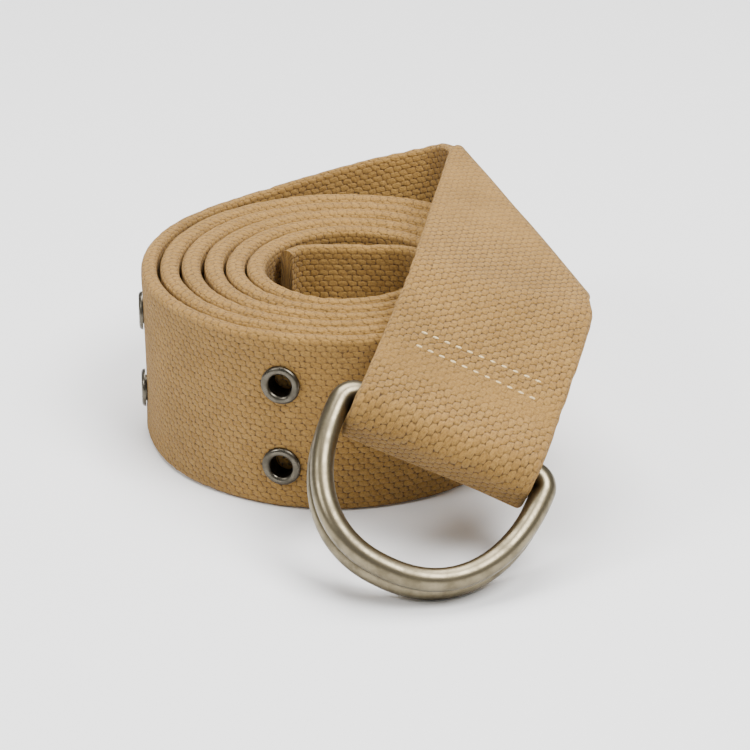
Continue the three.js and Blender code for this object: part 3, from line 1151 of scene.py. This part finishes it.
@dataclass
class Eyelets:
    """Pairs of pressed eyelets with domed flanges, their bores painted near-black as shade."""

    path: StrapPath
    spacing: float = 50.8
    offsets: dict = field(default_factory=lambda: {"upper": 8.4, "lower": -9.6})
    flange: float = 4.1
    hole: float = 2.35
    wall: float = 0.45
    proud_outside: float = 0.85
    proud_between: float = 0.3
    washer: float = 0.3
    washer_set_in: float = 0.3
    washer_chamfer: float = 0.15
    fit: float = 0.12
    front_azimuth: float = -107.2
    front_turn: int = 5
    first_turns: float = 0.4
    outer_turn: float = 5.4
    walk_step: float = 1 / 720
    cad_facet: float = 9
    sides: int = 56
    dome_steps: int = 12
    dome_fullness: float = 0.8
    shaded_bore_margin: float = 0.02
    finish: MetalFinish = MetalFinish(
        "eyelet_metal", (0.122, 0.109, 0.085, 1), (0.055, 0.048, 0.036, 1), 0.22, 0.4, 420.0
    )
    # The barrel finish is painted shade: near-black metal for the inside of the bore, where shade
    # falls.
    barrel: MetalFinish = MetalFinish(
        "eyelet_bore_painted_shade", (0.03, 0.026, 0.02, 1), (0.012, 0.01, 0.008, 1), 0.35, 0.6, 420.0
    )

    def pairs(self) -> list[EyeletPair]:
        """Places of the pairs that show on the innermost and the outermost turn.

        Returns:
            The pairs, counted from the tip.
        """
        coil = self.path.coil
        front = (coil.tip_azimuth - self.front_azimuth) / 360 + self.front_turn
        found = [front]
        for step, limit in ((-self.walk_step, self.first_turns), (self.walk_step, coil.turns)):
            turns, length = front, 0.0
            while (limit - turns) / step > 0:
                length += (coil.point(turns) - coil.point(turns + step)).length
                if length >= self.spacing:
                    found.append(turns)
                    length = 0.0
                turns += step
        kept = [turns for turns in sorted(found) if turns < 1 or turns > self.outer_turn]
        return [EyeletPair(i + 1, turns, self.flat_of(turns)) for i, turns in enumerate(kept)]

    def flat_of(self, turns: float) -> float:
        """Distance from the tip to a place on the coil, read from the rows.

        Args:
            turns: Turns from the tip.

        Returns:
            The distance along the strap.
        """
        position = turns * 360 / self.path.coil.row_step
        index = int(position)
        before, after = (self.path.rows[index + i].frame.flat for i in (0, 1))
        return before + (after - before) * (position - index)

    def profile(self, turns: float) -> list[tuple[float, float]]:
        """Cross-section of an eyelet.

        Args:
            turns: Where on the coil it sits.

        Returns:
            Pairs of radius and height above the strap's middle, in order round the section.
        """
        proud = self.proud_outside if turns > self.outer_turn else self.proud_between
        bend = self.path.coil.bend_radius(turns)
        half = self.path.section.thickness / 2
        facet = bend * (1 - math.cos(math.radians(self.cad_facet / 2)))
        inner = -half - self.fit - self.flange**2 / (2 * bend) - facet
        outer = half + self.fit
        washer = self.flange - self.washer_set_in
        barrel = self.hole + self.wall
        dome = []
        middle = (self.hole + self.flange) / 2
        reach = (self.flange - self.hole) / 2
        for i in range(self.dome_steps + 1):
            angle = math.pi * i / self.dome_steps
            height = proud * math.sin(angle) ** self.dome_fullness
            dome.append((middle + reach * math.cos(angle), outer + height))
        return [
            (self.hole, inner - self.washer),
            (washer - self.washer_chamfer, inner - self.washer),
            (washer, inner - self.washer / 2),
            (washer, inner),
            (barrel, inner),
            (barrel, outer),
            *dome,
        ]

    def model(self, turns: float) -> bpy.types.Object:
        """Models one eyelet at the origin, in millimetres, its axis along Z.

        Args:
            turns: Where on the coil it will sit.

        Returns:
            The eyelet.
        """
        profile = self.profile(turns)
        radius, height = profile[0]
        deselect_all()
        bpy.ops.mesh.primitive_circle_add(vertices=self.sides, radius=radius, location=(0, 0, height))
        eyelet = bpy.context.object
        bpy.ops.object.transform_apply(location=True)
        start_edit(eyelet)
        bpy.ops.mesh.select_all(action="SELECT")
        for next_radius, next_height in profile[1:]:
            lift = {"value": (0, 0, next_height - height)}
            bpy.ops.mesh.extrude_edges_move(TRANSFORM_OT_translate=lift)
            bpy.ops.transform.resize(value=(next_radius / radius, next_radius / radius, 1))
            radius, height = next_radius, next_height
        bpy.ops.mesh.select_all(action="DESELECT")
        bpy.ops.mesh.select_non_manifold(extend=False)
        bpy.ops.mesh.bridge_edge_loops()
        bpy.ops.mesh.select_all(action="SELECT")
        bpy.ops.mesh.remove_doubles(threshold=1e-4)
        bpy.ops.mesh.normals_make_consistent(inside=False)
        finish_edit(40)
        # Faces inside the bore take the painted-shade material.
        for face in eyelet.data.polygons:
            in_shaded_bore = math.hypot(*face.center[:2]) < self.hole + self.shaded_bore_margin
            face.material_index = int(in_shaded_bore)
        return eyelet

    def build(self) -> list[bpy.types.Object]:
        """Builds every eyelet in place of its CAD node.

        Returns:
            The eyelets.
        """
        # The second material is painted shade for the inside of the bore.
        metal, bore_shade_material = self.finish.material(), self.barrel.material()
        pieces = []
        for pair in self.pairs():
            source = self.model(pair.turns)
            frame = self.path.coil.frame(pair.turns)
            for row, offset in self.offsets.items():
                centre = frame.middle + frame.across * offset + CAD_SHIFT
                place = basis(frame.along, frame.normal.cross(frame.along), frame.normal, centre)
                piece = placed_copy(source, f"pressed_eyelet_{row}_{pair.number}", place)
                piece.data.materials.append(metal)
                piece.data.materials.append(bore_shade_material)
                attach(piece, Body.WEBBING.value)
                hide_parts(f"eyelet_{row}_{pair.number}")
                pieces.append(piece)
            bpy.data.objects.remove(source)
        return pieces


@dataclass
class Strap:
    """The webbing itself, as one closed sheet with its eyelet holes."""

    path: StrapPath
    eyelets: Eyelets
    hole_radius: float = 3.35
    swell: float = 0.35
    swell_length: float = 16
    swell_seed: float = 3.7
    scallop: float = 0.45
    scallop_length: float = 4.2
    scallop_side: float = 5
    scallop_start: float = 0.8
    groove: float = 0.65
    rim_start: float = 11.5
    rim_depth: float = 5.0
    rim_first_turn: float = 0.45
    rim_fade_in: float = 0.3
    rim_fade_out: float = 0.35

    def __post_init__(self) -> None:
        """Finds the holes on the flat strap, and the cells between rows and stations that they open."""
        offsets = self.eyelets.offsets.values()
        self.holes = [(pair.flat, offset) for pair in self.eyelets.pairs() for offset in offsets]
        self.stations = self.path.section.stations()
        self.open_cells = self.find_open_cells()

    def near_hole(self, flat: float, width: float, radius: float) -> tuple[float, float] | None:
        """The hole, if any, that a place on the flat strap lies within.

        Args:
            flat: Distance along.
            width: Distance across.
            radius: How near counts.

        Returns:
            The hole's centre, or None.
        """
        for hole in self.holes:
            if math.hypot(flat - hole[0], width - hole[1]) < radius:
                return hole
        return None

    def find_open_cells(self) -> set[tuple[int, int]]:
        """Finds the cells whose middle lies in a hole.

        Returns:
            The row and station of each.
        """
        rows = self.path.rows
        cells = set()
        for i in range(len(rows) - 1):
            flat = (rows[i].frame.flat + rows[i + 1].frame.flat) / 2
            if not any(abs(flat - hole[0]) < self.hole_radius for hole in self.holes):
                continue
            for j in range(len(self.stations) - 1):
                width = (self.stations[j][0] + self.stations[j + 1][0]) / 2
                if self.near_hole(flat, width, self.hole_radius):
                    cells.add((i, j))
        return cells

    def build(self) -> bpy.types.Object:
        """Builds the strap in place of its CAD node.

        Returns:
            The strap.
        """
        mesh = bmesh.new()
        uv = mesh.loops.layers.uv.new("flat")
        grid = self.vertices(mesh)
        self.faces(mesh, uv, grid)
        data = bpy.data.meshes.new("webbing_strap")
        mesh.to_mesh(data)
        mesh.free()
        strap = bpy.data.objects.new("webbing_strap", data)
        bpy.context.scene.collection.objects.link(strap)
        start_edit(strap)
        bpy.ops.mesh.select_all(action="SELECT")
        bpy.ops.mesh.remove_doubles(threshold=1e-6)
        bpy.ops.mesh.normals_make_consistent(inside=False)
        finish_edit(55)
        self.dress(strap)
        return strap

    def vertices(self, mesh: bmesh.types.BMesh) -> dict:
        """Adds the vertices of both faces of the cloth.

        Args:
            mesh: The mesh to add to.

        Returns:
            Each vertex and its place on the flat strap, by row, station and side.
        """
        thickness = self.path.section.thickness
        moves = self.rim_moves()
        grid = {}
        arcs = self.path.section.arcs()
        for i, row in enumerate(self.path.rows):
            for j, (width, half) in enumerate(self.stations):
                move = moves.get((i, j), (0.0, 0.0))
                shift = row.frame.along * move[0] + row.frame.across * move[1]
                shift += self.unevenness(row, j, width)
                half += self.rim_swell(i, width) * half / thickness * 2
                for side in (1, -1):
                    spot = row.points[j] + row.normals[j] * (side * half) + shift + CAD_SHIFT
                    vertex = mesh.verts.new(spot * MM)
                    flat = (row.flats[j] + move[0], side * (arcs[j] - move[1]))
                    grid[i, j, side] = (vertex, flat)
        return grid

    def faces(self, mesh: bmesh.types.BMesh, uv: UvLayer, grid: dict) -> None:
        """Closes the cloth with its two faces, its ends and the walls of its holes.

        Args:
            mesh: The mesh to add to.
            uv: Its UV layer.
            grid: Vertices by row, station and side.
        """
        last_row, last_station = len(self.path.rows) - 1, len(self.stations) - 1
        for i in range(last_row):
            for j in range(last_station):
                corners = ((i, j), (i, j + 1), (i + 1, j + 1), (i + 1, j))
                if (i, j) in self.open_cells:
                    self.wall(mesh, uv, grid, i, j)
                    continue
                self.face(mesh, uv, [grid[*corner, 1] for corner in reversed(corners)])
                self.face(mesh, uv, [grid[*corner, -1] for corner in corners])
        for i, order in ((0, 1), (last_row, -1)):
            for j in range(last_station):
                end = [grid[i, j, 1], grid[i, j + 1, 1], grid[i, j + 1, -1], grid[i, j, -1]]
                self.face(mesh, uv, end[::order])

    def rim_swell(self, i: int, width: float) -> float:
        """How much fuller the loose upper selvedge is in the coil, where it fills the grooves.

        Args:
            i: The row.
            width: Distance across.

        Returns:
            The added thickness of one face.
        """
        coil = self.path.coil
        turns = i * coil.row_step / 360
        if turns > coil.turns:
            return 0.0
        pitch = coil.pitches.towards(coil.azimuth(turns))
        room = max(0.0, (pitch - self.path.section.thickness - self.groove) / 2)
        upper = clamp((width - self.rim_start) / self.rim_depth)
        fade_in = clamp((turns - self.rim_first_turn) / self.rim_fade_in)
        fade_out = min(1.0, (coil.turns - turns) / self.rim_fade_out)
        return room * smooth(upper) * fade_in * fade_out

    def unevenness(self, row: StrapRow, j: int, width: float) -> Vector:
        """How far hand-wound cloth strays from its ideal place.

        Args:
            row: The row.
            j: Station in the row.
            width: Distance across.

        Returns:
            The small move.
        """
        flat = row.flats[j]
        lumps = Vector((flat / self.swell_length, width / self.swell_length, self.swell_seed))
        nicks = Vector((flat / self.scallop_length, math.copysign(self.scallop_side, width), 0))
        edge_share = abs(width) / self.path.section.half_width
        near_edge = max(0.0, edge_share - self.scallop_start) / (1 - self.scallop_start)
        inward = -math.copysign(abs(noise.noise(nicks)) * self.scallop * near_edge, width)
        return row.normals[j] * (noise.noise(lumps) * self.swell) + row.frame.across * inward

    @staticmethod
    def face(mesh: bmesh.types.BMesh, uv: UvLayer, corners: list[tuple]) -> None:
        """Adds one face with its place on the flat strap.

        Args:
            mesh: The mesh to add to.
            uv: Its UV layer.
            corners: Pairs of a vertex and its place on the flat strap.
        """
        made = mesh.faces.new([vertex for vertex, _ in corners])
        for loop, (_, flat) in zip(made.loops, corners):
            loop[uv].uv = flat

    def wall(self, mesh: bmesh.types.BMesh, uv: UvLayer, grid: dict, i: int, j: int) -> None:
        """Closes the sides of a hole's cell where it meets the cloth.

        Args:
            mesh: The mesh to add to.
            uv: Its UV layer.
            grid: Vertices by row, station and side.
            i: Row of the cell.
            j: Station of the cell.
        """
        neighbours = (
            ((i - 1, j), (i, j), (i, j + 1)),
            ((i + 1, j), (i + 1, j + 1), (i + 1, j)),
            ((i, j - 1), (i + 1, j), (i, j)),
            ((i, j + 1), (i, j + 1), (i + 1, j + 1)),
        )
        for beside, start, end in neighbours:
            if beside not in self.open_cells:
                upper = [grid[*start, 1], grid[*end, 1]]
                self.face(mesh, uv, upper + [grid[*end, -1], grid[*start, -1]])

    def rim_moves(self) -> dict[tuple[int, int], tuple[float, float]]:
        """Moves the corners round each hole onto a circle.

        Returns:
            Moves along and across, by row and station.
        """
        moves = {}
        for i, j in sorted(self.open_cells):
            for a, b in ((i, j), (i + 1, j), (i, j + 1), (i + 1, j + 1)):
                around = [(a + x, b + y) for x in (0, -1) for y in (0, -1)]
                if all(cell in self.open_cells for cell in around):
                    continue
                flat, width = self.path.rows[a].frame.flat, self.stations[b][0]
                hole = self.near_hole(flat, width, self.hole_radius * 2)
                offset = Vector((flat - hole[0], width - hole[1]))
                target = offset.normalized() * self.hole_radius - offset
                moves[a, b] = (target.x, target.y)
        return moves

    def dress(self, strap: bpy.types.Object) -> None:
        """Args:
            strap: The strap.
        """
        fold, loop = self.path.fold_flat, self.path.loop_flat
        at_fold = Wear(start=fold - 22, stop=fold + 16, soft=12, amount=0.75)
        before_loop = Wear(start=loop - 12.5, stop=loop - 6, soft=2.5, amount=0.9)
        finish = WebbingFinish(worn_spans=(at_fold, before_loop))
        strap.data.materials.append(finish.material())
        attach(strap, Body.WEBBING.value)
        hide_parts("strap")


@dataclass
class Stitches:
    """Two rows of stitches across the front run, behind the end loop."""

    path: StrapPath
    length: float = 1.3
    thickness: float = 0.5
    per_row: int = 11
    span: float = 24.2
    sideways: float = -0.5
    rows_back: tuple[float, ...] = (16.8, 12.6)
    leans: tuple[float, ...] = (1.0, 1.6)
    sunk: float = 0.06
    finish: ThreadFinish = ThreadFinish()

    def model(self) -> bpy.types.Object:
        """Models one stitch at the origin, in millimetres, lying along X.

        Returns:
            The stitch.
        """
        deselect_all()
        bpy.ops.mesh.primitive_uv_sphere_add(segments=10, ring_count=6, radius=0.5, location=(0, 0, 0))
        stitch = bpy.context.object
        start_edit(stitch)
        bpy.ops.mesh.select_all(action="SELECT")
        bpy.ops.transform.resize(value=(self.length, self.thickness, self.thickness))
        finish_edit(80)
        return stitch

    def build(self) -> bpy.types.Object:
        """Builds the stitching as one piece.

        Returns:
            The stitching.
        """
        source = self.model()
        copies = []
        lift = self.path.section.thickness / 2 - self.sunk
        for row, (back, lean) in enumerate(zip(self.rows_back, self.leans)):
            for i in range(self.per_row):
                share = i / (self.per_row - 1) - 0.5
                frame = self.path.back_along(self.path.front, back + lean * share)
                offset = self.span * share + self.sideways
                centre = frame.middle + frame.across * offset + frame.normal * lift + CAD_SHIFT
                place = basis(frame.across, frame.normal.cross(frame.across), frame.normal, centre)
                copies.append(placed_copy(source, f"stitch_{row}_{i}", place))
        bpy.data.objects.remove(source)
        deselect_all()
        for piece in copies:
            piece.select_set(True)
        bpy.context.view_layer.objects.active = copies[0]
        bpy.ops.object.join()
        stitching = bpy.context.object
        stitching.name = "loop_stitching"
        stitching.data.name = "loop_stitching"
        stitching.data.materials.append(self.finish.material())
        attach(stitching, Body.WEBBING.value)
        return stitching


@dataclass
class DRing:
    """A D-ring bent from round wire."""

    rings: RingPair
    half_width: float = 21.6
    corner: float = 3.2
    bow_depth: float = 27.5
    bow_power: float = 2.25
    corner_steps: int = 9
    bow_steps: int = 72
    wire_resolution: int = 8
    finish: MetalFinish = MetalFinish()

    def outline(self) -> list[tuple[float, float]]:
        """Middle line of the ring in its own plane, the bar on X and the bow towards Y.

        Returns:
            The places, once round.
        """
        bow = []
        for i in range(1, self.bow_steps):
            angle = math.pi * i / self.bow_steps
            cos, sin = math.cos(angle), math.sin(angle)
            reach = (abs(cos) ** self.bow_power + sin**self.bow_power) ** (-1 / self.bow_power)
            bow.append((self.half_width * cos * reach, self.corner + self.bow_depth * sin * reach))
        bend = self.half_width - self.corner
        return self.corner_arc(bend, -90) + bow + self.corner_arc(-bend, 180)

    def corner_arc(self, middle: float, start: float) -> list[tuple[float, float]]:
        """A quarter turn at one end of the bar.

        Args:
            middle: Where its centre lies along the bar.
            start: Direction of its first place, in degrees.

        Returns:
            The places.
        """
        places = []
        for i in range(self.corner_steps + 1):
            angle = math.radians(start + 90 * i / self.corner_steps)
            places.append((middle + self.corner * math.cos(angle), self.corner * (1 + math.sin(angle))))
        return places

    def model(self) -> bpy.types.Object:
        """Bends the wire in its own plane, at the origin, in millimetres.

        Returns:
            The ring.
        """
        deselect_all()
        bpy.ops.curve.primitive_bezier_circle_add(radius=1, location=(0, 0, 0))
        wire = bpy.context.object
        wire.data.splines.clear()
        points = self.outline()
        line = wire.data.splines.new("POLY")
        line.points.add(len(points) - 1)
        for spot, (x, y) in zip(line.points, points):
            spot.co = (x, y, 0, 1)
        line.use_cyclic_u = True
        wire.data.dimensions = "3D"
        wire.data.bevel_depth = self.rings.wire_radius
        wire.data.bevel_resolution = self.wire_resolution
        bpy.ops.object.convert(target="MESH")
        ring = bpy.context.object
        start_edit(ring)
        bpy.ops.mesh.select_all(action="SELECT")
        bpy.ops.mesh.remove_doubles(threshold=1e-4)
        bpy.ops.mesh.normals_make_consistent(inside=False)
        finish_edit(60)
        ring.data.materials.clear()
        return ring

    def build(self) -> list[bpy.types.Object]:
        """Builds both rings in place of their CAD nodes.

        Returns:
            The rings.
        """
        source = self.model()
        metal = self.finish.material()
        names = (("front", Body.FRONT_RING), ("back", Body.BACK_RING))
        pieces = []
        for index, (name, body) in enumerate(names):
            place = Matrix.Translation(CAD_SHIFT) @ self.rings.place(index)
            ring = placed_copy(source, f"wire_ring_{name}", place)
            ring.data.materials.append(metal)
            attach(ring, body.value)
            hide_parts(f"d_ring_{name}")
            pieces.append(ring)
        bpy.data.objects.remove(source)
        return pieces


@dataclass(frozen=True)
class Lamp:
    """A soft square light.

    Attributes:
        name: Name of the light.
        place: Where it stands, in metres.
        size: Side of its square, in metres.
        power: Its power in watts.
    """

    name: str
    place: tuple[float, float, float]
    size: float
    power: float


@dataclass
class Studio:
    """Pale floor, soft lights and the camera at the photograph's angle."""

    target: Vector = field(default_factory=lambda: Vector((0.002726, -0.000736, 0.0192)))
    lamps: tuple[Lamp, ...] = (
        Lamp("key", (0.42, -0.4, 0.9), 0.5, 16),
        Lamp("top", (-0.05, 0.3, 1.1), 0.8, 20),
        Lamp("streak", (-0.6, -0.3, 0.55), 0.22, 3.2),
    )
    elevation: float = 24
    distance: float = 0.570
    focal_pixels: float = 2725
    image_pixels: float = 750
    sensor: float = 36
    nearest: float = 0.01
    floor_size: float = 6
    floor_colour: tuple = (0.93, 0.93, 0.93, 1)
    world_colour: tuple = (1.0, 1.0, 1.0, 1)
    world_strength: float = 0.42

    def floor(self) -> None:
        """Lays the floor."""
        deselect_all()
        bpy.ops.mesh.primitive_plane_add(size=self.floor_size, location=(0, 0, 0))
        floor = bpy.context.object
        floor.name = "floor"
        g = NodeGraph("floor")
        g.shade(Base_Color=self.floor_colour, Roughness=0.8)
        floor.data.materials.append(g.material)

    def stand(self, data: bpy.types.ID, place: Vector) -> bpy.types.Object:
        """Stands a lamp or a camera somewhere, looking at the belt.

        Args:
            data: The lamp's or camera's own data.
            place: Where it stands.

        Returns:
            The object.
        """
        item = bpy.data.objects.new(data.name, data)
        aim = (self.target - place).to_track_quat("-Z", "Y")
        item.matrix_world = Matrix.Translation(place) @ aim.to_matrix().to_4x4()
        bpy.context.scene.collection.objects.link(item)
        return item

    def light(self) -> None:
        """Lights the belt with the lamps and a plain bright surround."""
        world = bpy.data.worlds.new("studio")
        world.use_nodes = True
        background = world.node_tree.nodes["Background"]
        background.inputs["Color"].default_value = self.world_colour
        background.inputs["Strength"].default_value = self.world_strength
        bpy.context.scene.world = world
        for lamp in self.lamps:
            data = bpy.data.lights.new(lamp.name, "AREA")
            data.size = lamp.size
            data.energy = lamp.power
            self.stand(data, Vector(lamp.place))

    def camera(self) -> None:
        """Sets the camera up."""
        data = bpy.data.cameras.new("camera")
        data.sensor_width = self.sensor
        data.lens = self.focal_pixels / self.image_pixels * self.sensor
        data.clip_start = self.nearest
        tilt = math.radians(self.elevation)
        place = self.target + Vector((0, -math.cos(tilt), math.sin(tilt))) * self.distance
        bpy.context.scene.camera = self.stand(data, place)

    def build(self) -> None:
        """Sets up the whole studio."""
        self.floor()
        self.light()
        self.camera()


def report(pieces: list[bpy.types.Object]) -> None:
    """Logs the size of each finished piece.

    Args:
        pieces: The pieces.
    """
    for piece in pieces:
        log.info("%s has %d faces", piece.name, len(piece.data.polygons))


def main() -> None:
    """Loads the frame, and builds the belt's pieces and the studio."""
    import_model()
    path = StrapPath()
    log.info("the strap is %.1f mm long", path.rows[-1].frame.flat)
    eyelets = Eyelets(path)
    report([Strap(path, eyelets).build()])
    report(eyelets.build())
    report([Stitches(path).build()])
    report(DRing(path.rings).build())
    Studio().build()


if __name__ == "__main__":
    logging.basicConfig(level=logging.INFO, format="%(name)s: %(message)s")
    main()
